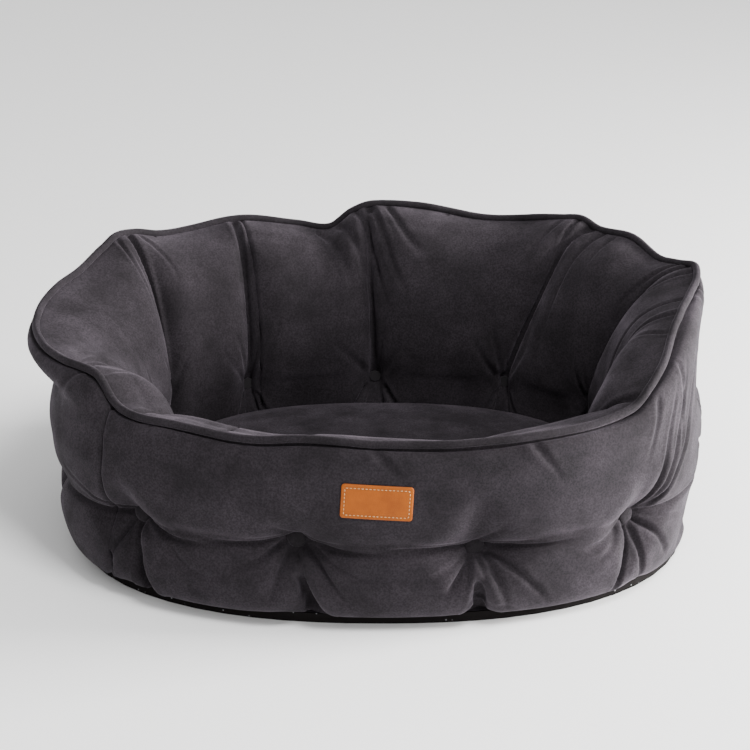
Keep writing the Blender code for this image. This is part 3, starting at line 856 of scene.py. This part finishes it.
class Nodes:
    """Short helper round the node tree of a material, or of the world."""

    def __init__(self, owner):
        self.owner = owner
        owner.use_nodes = True
        self.tree = owner.node_tree
        self.shader = self.tree.nodes.get("Principled BSDF")

    def new(self, kind, **inputs):
        node = self.tree.nodes.new(kind)
        for key, value in inputs.items():
            if key in node.inputs:
                node.inputs[key].default_value = value
            else:
                setattr(node, key, value)
        return node

    def link(self, source, target):
        self.tree.links.new(source, target)

    def coordinates(self):
        return self.new("ShaderNodeTexCoord").outputs["Object"]

    def shade(self, colour, normal, **values):
        """Links colour and normal, and sets other inputs, named with _ for each space."""
        self.link(colour, self.shader.inputs["Base Color"])
        self.link(normal, self.shader.inputs["Normal"])
        for key, value in values.items():
            self.shader.inputs[key.replace("_", " ")].default_value = value
        return self.owner

    def noise(self, scale, detail, roughness):
        node = self.new("ShaderNodeTexNoise", Scale=scale, Detail=detail, Roughness=roughness)
        self.link(self.coordinates(), node.inputs["Vector"])
        return node.outputs["Fac"]

    def ramp(self, source, *stops):
        node = self.new("ShaderNodeValToRGB")
        elements = node.color_ramp.elements
        while len(elements) < len(stops):
            elements.new(0.5)
        for element, (at, colour) in zip(elements, stops):
            element.position = at
            element.color = (*colour, 1)
        self.link(source, node.inputs["Fac"])
        return node.outputs["Color"]

    def mix(self, blend, factor, first, second):
        node = self.new("ShaderNodeMix", data_type="RGBA", blend_type=blend)
        node.inputs[0].default_value = factor
        self.link(first, node.inputs[6])
        self.link(second, node.inputs[7])
        return node.outputs[2]

    def bump(self, source, strength, distance, normal=None):
        node = self.new("ShaderNodeBump", Strength=strength, Distance=distance)
        self.link(source, node.inputs["Height"])
        if normal is not None:
            self.link(normal, node.inputs["Normal"])
        return node.outputs["Normal"]


def new_material(name):
    return Nodes(bpy.data.materials.new(name))


def velvet(name, colour, light):
    """Short-pile velvet: nap mottling, a fine pile and a grazing sheen."""
    n = new_material(name)
    # light scales the colour down as painted shade, for the piping and the buttons
    dark = tuple(c * 0.72 * light for c in colour)
    pale = tuple(c * 1.30 * light for c in colour)
    nap = n.noise(26.0, 6.0, 0.65)
    fine = n.ramp(n.noise(620.0, 2.0, 0.7), (0.38, (0.62,) * 3), (0.62, (1.35,) * 3))
    tone = n.ramp(nap, (0.34, dark), (0.66, pale))
    colour = n.mix("MULTIPLY", 0.9, tone, fine)
    lying = n.mix("MULTIPLY", 0.7, n.ramp(nap, (0.36, (0.06,) * 3), (0.66, (0.17,) * 3)), fine)
    n.link(lying, n.shader.inputs["Sheen Weight"])
    sheen = {"Sheen_Roughness": 0.50, "Sheen_Tint": (0.64, 0.55, 0.66, 1)}
    pile = n.bump(n.noise(1400.0, 2.0, 0.7), 0.25, 0.0004)
    rumpled = n.bump(n.noise(60.0, 4.0, 0.6), 0.25, 0.0016, pile)
    return n.shade(colour, rumpled, Roughness=0.9, Specular_IOR_Level=0.15, **sheen)


def leather(name):
    n = new_material(name)
    stops = (0.3, (0.205, 0.046, 0.0008)), (0.7, (0.275, 0.066, 0.0014))
    tone = n.ramp(n.noise(70.0, 5.0, 0.6), *stops)
    grain = n.new("ShaderNodeTexVoronoi", Scale=1100.0)
    n.link(n.coordinates(), grain.inputs["Vector"])
    grained = n.bump(grain.outputs["Distance"], 0.2, 0.0003)
    return n.shade(tone, grained, Roughness=0.55, Specular_IOR_Level=0.2)


def thread(name, colour):
    n = new_material(name)
    wave = n.new("ShaderNodeTexWave", Scale=900.0, Distortion=1.0)
    n.link(n.coordinates(), wave.inputs["Vector"])
    dark = tuple(c * 0.7 for c in colour)
    twist = wave.outputs["Fac"]
    tone = n.ramp(twist, (0.2, dark), (0.8, colour))
    return n.shade(tone, n.bump(twist, 0.5, 0.0003), Roughness=0.6)


def grip_fabric(name):
    """Black woven fabric with a grid of small raised silvery dots."""
    n = new_material(name)
    cells = n.new("ShaderNodeTexVoronoi", Scale=150.0, Randomness=0.65)
    n.link(n.coordinates(), cells.inputs["Vector"])
    stops = (0.07, (0.20, 0.20, 0.21)), (0.12, (0.0050, 0.0040, 0.0040))
    dots = n.ramp(cells.outputs["Distance"], *stops)
    height = n.ramp(cells.outputs["Distance"], (0.06, (1.0,) * 3), (0.14, (0.0,) * 3))
    raised = n.bump(height, 0.5, 0.0008)
    return n.shade(dots, raised, Roughness=0.8, Specular_IOR_Level=0.08)


def plain(name, colour, roughness, metallic=0.0, scale=400.0):
    n = new_material(name)
    dark = tuple(c * 0.8 for c in colour)
    grain = n.noise(scale, 3.0, 0.6)
    tone = n.ramp(grain, (0.3, dark), (0.7, colour))
    return n.shade(tone, n.bump(grain, 0.2, 0.0004), Roughness=roughness, Metallic=metallic)


# ---- pieces


def fit_slot(piece, body, slot, *nodes):
    """Puts a piece in place of its CAD nodes, which it hides, and on their body; slot is not used.
    """
    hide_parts(*nodes)
    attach(piece, body)


def seam_column(hour):
    return round((hour - FIRST_TUFT_HOUR) / TUFT_SPACING * COLUMNS_PER_TUFT * FINENESS)


def build_wall(grid, materials):
    for side, seams, rows in (
        ("outer", OUTER_SEAMS, (0, RIM_ROW)),
        ("inner", INNER_SEAMS, (RIM_ROW, LAST_ROW)),
    ):
        for label, (start, end) in seams.items():
            name = f"{side}_panel_{label}"
            first, last = seam_column(start), seam_column(end)
            rows_fine = [row * FINENESS for row in rows]
            piece = panel_mesh(name + "_cloth", grid, first, last, rows_fine, materials[side])
            fit_slot(piece, "bed", f"{side}_velvet", name)
    for number in range(TUFTS):
        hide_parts(f"wall_fill_{number + 1:02d}")


def build_piping(materials):
    hours = column_hours(COLUMNS * FINENESS)
    height, lean = rim(hours)
    wobble = smooth_noise((len(hours), 2), 20, 1, 11)
    swell = smooth_noise((len(hours), 1), 90, 1, 12)[:, 0]
    path = place(hours, lean + wobble[:, 0] * 0.0006, height + wobble[:, 1] * 0.0007)
    radius = PIPING_RADIUS * (1 + 0.05 * swell)
    # the piping's velvet is painted darker, as painted shade
    piece = tube("rim_piping_velvet", path, radius, 14, materials["piping"])
    fit_slot(piece, "bed", "piping_velvet", "rim_piping_cover", "rim_piping_cord")


def build_buttons(materials):
    """Covered buttons: a soft dome with a shallow ring where its cloth is gathered under."""
    profile = np.array(BUTTON_PROFILE)
    across, out = profile[:, :1, None], profile[:, 1:, None]
    for number in range(TUFTS):
        point, normal = outline(np.array(tuft_hour(number)))
        tangent = np.array([-normal[1], normal[0], 0])
        face = np.array([*normal, 0.14])
        face /= np.linalg.norm(face)
        up = np.cross(face, tangent) * -1
        flat = point - normal * (TUFT_INSET - BUTTON_OUT)
        centre = np.array([*flat, TUFT_HEIGHTS[number]])
        rings = centre + face * out + spokes(tangent, up, 36) * across
        name = f"tuft_button_dome_{number + 1:02d}"
        # the button velvet is painted darker, as painted shade in the button's hollow
        piece = sweep(name, rings[::-1], materials["button"], False)
        fit_slot(piece, "bed", "button_velvet", f"tuft_button_{number + 1:02d}")


def label_surface(grid):
    """The label's back: y as a gentle quadratic in x and z, fitted to the cloth of the front."""
    points = grid[:, : RIM_ROW * FINENESS].reshape(-1, 3)
    x, z = points[:, 0] - LABEL_CENTRE[0], points[:, 2] - LABEL_CENTRE[1]
    under = (abs(x) < LABEL_WIDTH / 2) & (abs(z) < LABEL_HEIGHT / 2) & (points[:, 1] < 0)
    x, z, y = x[under], z[under], points[under, 1]
    terms = np.stack([np.ones_like(x), x, z, x * x, z * z], -1)
    shape = np.linalg.lstsq(terms, y, rcond=None)[0]
    shape[3:] *= 0.8
    shape[0] -= 0.0006

    def surface(x, z):
        return shape[0] + shape[1] * x + shape[2] * z + shape[3] * x * x + shape[4] * z * z

    return surface


def press_under_label(grid, surface):
    """Presses the cloth in under the label, and eases it out again round its edges."""
    x, z = grid[..., 0] - LABEL_CENTRE[0], grid[..., 2] - LABEL_CENTRE[1]
    over_x = np.maximum(abs(x) - LABEL_WIDTH / 2 + 0.0005, 0)
    over_z = np.maximum(abs(z) - LABEL_HEIGHT / 2 + 0.0005, 0)
    share = np.exp(-((np.hypot(over_x, over_z) / 0.006) ** 2))
    front = (grid[..., 1] < -0.15) & (np.arange(grid.shape[1])[None, :] < RIM_ROW * FINENESS)
    share = np.where(front, share, 0)
    pressed = surface(x, z) + 0.0002
    grid[..., 1] += share * np.maximum(pressed - grid[..., 1], -0.0015)


def rounded_ring(width, height, radius):
    """Points round a rectangle with round corners, anticlockwise."""
    turn = np.linspace(0, math.pi / 2, 8)
    points = []
    for quarter, (sx, sy) in enumerate(((1, 1), (-1, 1), (-1, -1), (1, -1))):
        angle = turn + math.pi / 2 * quarter
        x = sx * (width / 2 - radius) + radius * np.cos(angle)
        y = sy * (height / 2 - radius) + radius * np.sin(angle)
        points.append(np.stack([x, y], -1))
    corners = np.concatenate(points)
    lengths = np.linalg.norm(np.roll(corners, -1, 0) - corners, axis=1)
    filled = []
    for corner, after, length in zip(corners, np.roll(corners, -1, 0), lengths):
        steps = max(1, round(length / 0.0015))
        filled.append(corner + (after - corner) * (np.arange(steps) / steps)[:, None])
    return np.concatenate(filled)


def on_label(surface, points, level):
    """World points from places on the label's face and their level above its back."""
    cos, sin = math.cos(LABEL_ROLL), math.sin(LABEL_ROLL)
    x = points[..., 0] * cos + points[..., 1] * sin
    z = points[..., 1] * cos - points[..., 0] * sin
    y = surface(x, z) - level
    return np.stack([x + LABEL_CENTRE[0], y, z + LABEL_CENTRE[1]], -1)


def build_label(surface, materials):
    """Leather label: soft cut edge, a shallow sewn groove, and its separate stitches."""
    thick = LABEL_THICKNESS
    outer = rounded_ring(LABEL_WIDTH, LABEL_HEIGHT, LABEL_CORNER)
    size = np.array([LABEL_WIDTH, LABEL_HEIGHT])
    rings = [
        on_label(surface, outer * (1 - 2 * inset / size), thick * share)
        for inset, share in LABEL_SECTION
    ]
    inner = outer * (1 - 2 * LABEL_SECTION[-1][0] / size)
    rings += [on_label(surface, inner * share, thick * 1.03) for share in (0.75, 0.5, 0.25, 0.02)]
    back = [on_label(surface, outer * share, 0.0) for share in (0.02, 0.5)]
    rings = np.array([*back, *rings])
    piece = sweep("label_leather_soft", rings, materials["leather"], False)
    fit_slot(piece, "bed", "label_leather", "label_leather")

    path = rounded_ring(
        LABEL_WIDTH - 2 * STITCH_MARGIN, LABEL_HEIGHT - 2 * STITCH_MARGIN, LABEL_CORNER * 0.6
    )
    closed = np.concatenate([path, path[:1]])
    lengths = np.concatenate([[0], np.cumsum(np.linalg.norm(np.diff(closed, axis=0), axis=1))])
    count = round(lengths[-1] / STITCH_PITCH)
    points, faces = [], []
    rows, sides = 7, 8
    turn = 2 * np.pi * np.arange(sides) / sides
    rise = np.sqrt(np.clip(1 - np.linspace(-1, 1, rows) ** 2, 0.06, 1))
    for number in range(count):
        middle = lengths[-1] * (number + 0.5) / count
        along = middle + STITCH_LENGTH * np.linspace(-0.5, 0.5, rows)
        line = np.stack([np.interp(along, lengths, closed[:, axis]) for axis in (0, 1)], -1)
        course = line[-1] - line[0]
        side = np.array([-course[1], course[0]]) / np.linalg.norm(course)
        first = len(points) * sides
        for place_on, r in zip(line, rise):
            flat = place_on + side * (0.00042 * r * np.cos(turn))[:, None]
            level = thick * 0.92 + 0.00032 * r + 0.00036 * r * np.sin(turn)
            points.append(on_label(surface, flat, level))
        index = first + np.arange(rows * sides).reshape(rows, sides)
        faces += quads(np.concatenate([index, index[:, :1]], 1).T)
        faces += [index[0].tolist(), index[-1].tolist()]
    piece = mesh_object("label_stitches", np.concatenate(points), faces, materials["stitch"])
    face_outwards(piece)
    fit_slot(piece, "bed", "label_stitching", "label_stitching")


def cushion_cloth():
    """Both covers of the loose cushion on one grid, from the middle below to the middle above."""
    hours = column_hours(CUSHION_COLUMNS)
    seam, floor, top = CUSHION_SEAM_HEIGHT, CUSHION_FLOOR, CUSHION_TOP
    knots = [
        (0, 0.02, floor), (5, 0.40, floor), (10, 0.76, floor), (14, 0.89, floor + 0.002),
        (18, 0.950, 0.0215), (21, 0.985, 0.032), (CUSHION_SEAM_ROW, 0.998, seam),
        (25, 0.985, 0.042), (29, 0.955, 0.0505), (35, 0.87, 0.0585), (43, 0.68, 0.0645),
        (51, 0.42, 0.067), (57, 0.20, top - 0.0005), (62, 0.02, top - 0.0005),
    ]
    scale, level = hermite_knots(knots, CUSHION_COLUMNS)
    plump = np.stack([place(hours, CUSHION_INSET, height) for height in level], 1)
    plump[..., :2] *= scale.T[..., None]
    row = np.arange(plump.shape[1])[None, :] * np.ones((CUSHION_COLUMNS, 1))
    near_seam = np.exp(-(((row - 24) / 6.0) ** 2))
    upper = np.exp(-(((row - 44) / 10.0) ** 2))
    excess = (0.07 * near_seam + 0.02 * upper, 0.03 * near_seam + 0.02 * upper)
    pinned = (row <= 9) | (row == CUSHION_SEAM_ROW) | (row == knots[-1][0])
    shape = plump.shape[:2]
    pucker = smooth_noise(shape, 7, 6, 21) * near_seam + 0.5 * smooth_noise(shape, 26, 14, 22)
    shift = np.where(pinned, 0, pucker * 0.0022)
    start = plump + surface_normals(plump) * shift[..., None]
    most = np.where(row < 22, 0.0015, np.where(row < 32, 0.0030, 0.0045))
    push = 1 + 0.8 * pucker
    steps = CUSHION_STEPS
    grid = relax(plump, start, pinned, excess, push, most, steps, floor)

    # the middle of the top is a smooth crown
    crown = np.clip((row - 44) / 10.0, 0, 1)[..., None] ** 2
    middle = plump.copy()
    middle[..., 2] += grid[:, 46, 2].mean() - plump[:, 46, 2].mean() + 0.0008
    return grid + crown * (middle - grid)


def build_cushion(materials):
    grid = refine(cushion_cloth())
    seam = CUSHION_SEAM_ROW * FINENESS
    top = grid[:, seam:]
    columns, rows = top.shape[:2]
    faces = sheet_faces(columns, rows, wrap=True)
    faces.append([column * rows + rows - 1 for column in range(columns)])
    piece = mesh_object("cushion_top_cloth", top.reshape(-1, 3), faces, materials["cushion"])
    fit_slot(piece, "cushion", "cushion_velvet", "cushion_cover_top", "cushion_fill")

    # the lower cover has a thickness, and a slot for the zip
    outside = grid[:, : seam + 1]
    inside = outside - surface_normals(grid)[:, : seam + 1] * 0.0012
    rings = np.concatenate([outside, inside[:, ::-1]], 1)
    columns, rows = rings.shape[:2]
    faces = sheet_faces(columns, rows, wrap=True)
    first = np.arange(columns) * rows
    faces += [first[::-1].tolist(), (first + rows - 1).tolist()]
    lower = mesh_object("cushion_lower_cloth", rings.reshape(-1, 3), faces, materials["cushion"])
    bpy.ops.mesh.primitive_cube_add(size=1, location=(0, ZIP_Y, CUSHION_FLOOR))
    slot = bpy.context.object
    slot.scale = (2 * ZIP_SLOT[0], 2 * ZIP_SLOT[1], 0.008)
    modifier = lower.modifiers.new("zip_slot", "BOOLEAN")
    modifier.object, modifier.operation, modifier.solver = slot, "DIFFERENCE", "EXACT"
    bpy.context.view_layer.update()
    cut_lower = lower.evaluated_get(bpy.context.evaluated_depsgraph_get())
    cut = bpy.data.meshes.new_from_object(cut_lower)
    lower.modifiers.clear()
    lower.data = cut
    cut.shade_smooth()
    bpy.data.objects.remove(slot)
    fit_slot(lower, "cushion", "cushion_velvet", "cushion_cover_bottom")

    wobble = smooth_noise((columns, 1), 12, 1, 31)[:, 0]
    path = grid[:, seam] + np.stack([wobble * 0, wobble * 0, wobble * 0.0006], -1)
    # the piping's velvet is painted darker, as painted shade
    piece = tube("cushion_piping_velvet", path, CUSHION_PIPING_RADIUS, 12, materials["piping"])
    fit_slot(piece, "cushion", "cushion_velvet", "cushion_piping")


def carried_over(frame, materials):
    """CAD nodes that stay, with a better material."""
    kept = {
        "base_grip_underside": "grip",
        "base_wadding": "wadding",
        "base_lining": "lining",
        "cushion_zip_tape": "tape",
        "cushion_zip_coil": "coil",
        "cushion_zip_slider": "metal",
        "cushion_zip_stop_left": "metal",
        "cushion_zip_stop_right": "metal",
    }
    kept.update({f"tuft_tie_{n + 1:02d}": "tie" for n in range(TUFTS)})
    for node, key in kept.items():
        obj = frame["nodes"][node]
        obj.data.materials.clear()
        obj.data.materials.append(materials[key])


def build_stage():
    bpy.ops.mesh.primitive_plane_add(size=30, location=(0, 0, 0))
    floor = bpy.context.object
    floor.name = "floor"
    n = new_material("floor_pale")
    n.shader.inputs["Base Color"].default_value = (0.93, 0.93, 0.93, 1)
    n.shader.inputs["Roughness"].default_value = 0.9
    floor.data.materials.append(n.owner)
    floor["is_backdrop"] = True

    world = bpy.data.worlds.new("studio")
    bpy.context.scene.world = world
    sky = Nodes(world)
    background = sky.tree.nodes["Background"]
    background.inputs["Color"].default_value = (1, 1, 1, 1)
    slope = sky.new("ShaderNodeVectorMath", operation="DOT_PRODUCT")
    slope.inputs[1].default_value = SKY_SLOPE
    level = sky.new("ShaderNodeMath")
    level.inputs[1].default_value = SKY_LEVEL
    sky.link(sky.new("ShaderNodeTexCoord").outputs["Generated"], slope.inputs[0])
    sky.link(slope.outputs["Value"], level.inputs[0])
    sky.link(level.outputs[0], background.inputs["Strength"])

    for name, location, target, size, power, colour in LIGHTS:
        light = bpy.data.lights.new(name, "AREA")
        light.size = size
        light.energy = power
        light.color = colour
        obj = add_object(name, light)
        obj.location = location
        course = Vector(target) - Vector(location)
        obj.rotation_euler = course.to_track_quat("-Z", "Y").to_euler()


def build_camera():
    data = bpy.data.cameras.new("camera")
    data.sensor_width = SENSOR
    data.lens = LENS
    data.clip_end = 60
    camera = add_object("camera", data)
    elevation, distance = CAMERA_ELEVATION, CAMERA_DISTANCE
    back = Vector((0, -math.cos(elevation), math.sin(elevation)))
    up = Vector((0, math.sin(elevation), math.cos(elevation)))
    middle = Vector((0, 0, CAMERA_TARGET_HEIGHT))
    camera.location = middle + back * distance
    left = Vector((distance * AIM_LEFT_PIXELS / FOCAL_PIXELS, 0, 0))
    aim = middle + up * distance * (AIM_UP_PIXELS / FOCAL_PIXELS) - left
    camera.rotation_euler = (aim - camera.location).to_track_quat("-Z", "Y").to_euler()
    bpy.context.scene.camera = camera


def corners(box):
    return [list(corner) for corner in box]


def main():
    for old in list(bpy.data.objects):
        bpy.data.objects.remove(old)
    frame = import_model()
    cad_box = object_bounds()
    materials = {
        "grip": grip_fabric("grip_fabric"),
        "wadding": plain("wadding", (0.85, 0.84, 0.80), 0.95),
        "leather": leather("label_leather"),
        "stitch": thread("label_thread", (0.46, 0.27, 0.115)),
        "tie": thread("tie_twine", (0.016, 0.014, 0.016)),
        "tape": plain("zip_tape", (0.02, 0.02, 0.022), 0.8, scale=1500.0),
        "coil": plain("zip_coil", (0.02, 0.02, 0.02), 0.4, scale=1500.0),
        "metal": plain("zip_metal", (0.10, 0.10, 0.105), 0.35, 0.8, scale=900.0),
    }
    # each velvet's light factor is painted shade, below 1 for the piping and the buttons
    for key, light in VELVET_PAINTED_SHADE.items():
        materials[key] = velvet(f"velvet_{key}", SLATE, light)
    grid = wall_cloth()
    label = label_surface(grid)
    press_under_label(grid, label)
    build_wall(grid, materials)
    build_piping(materials)
    build_buttons(materials)
    build_label(label, materials)
    build_cushion(materials)
    carried_over(frame, materials)
    build_stage()
    build_camera()
    sizes = {"cad": corners(cad_box), "visual": corners(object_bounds())}


main()
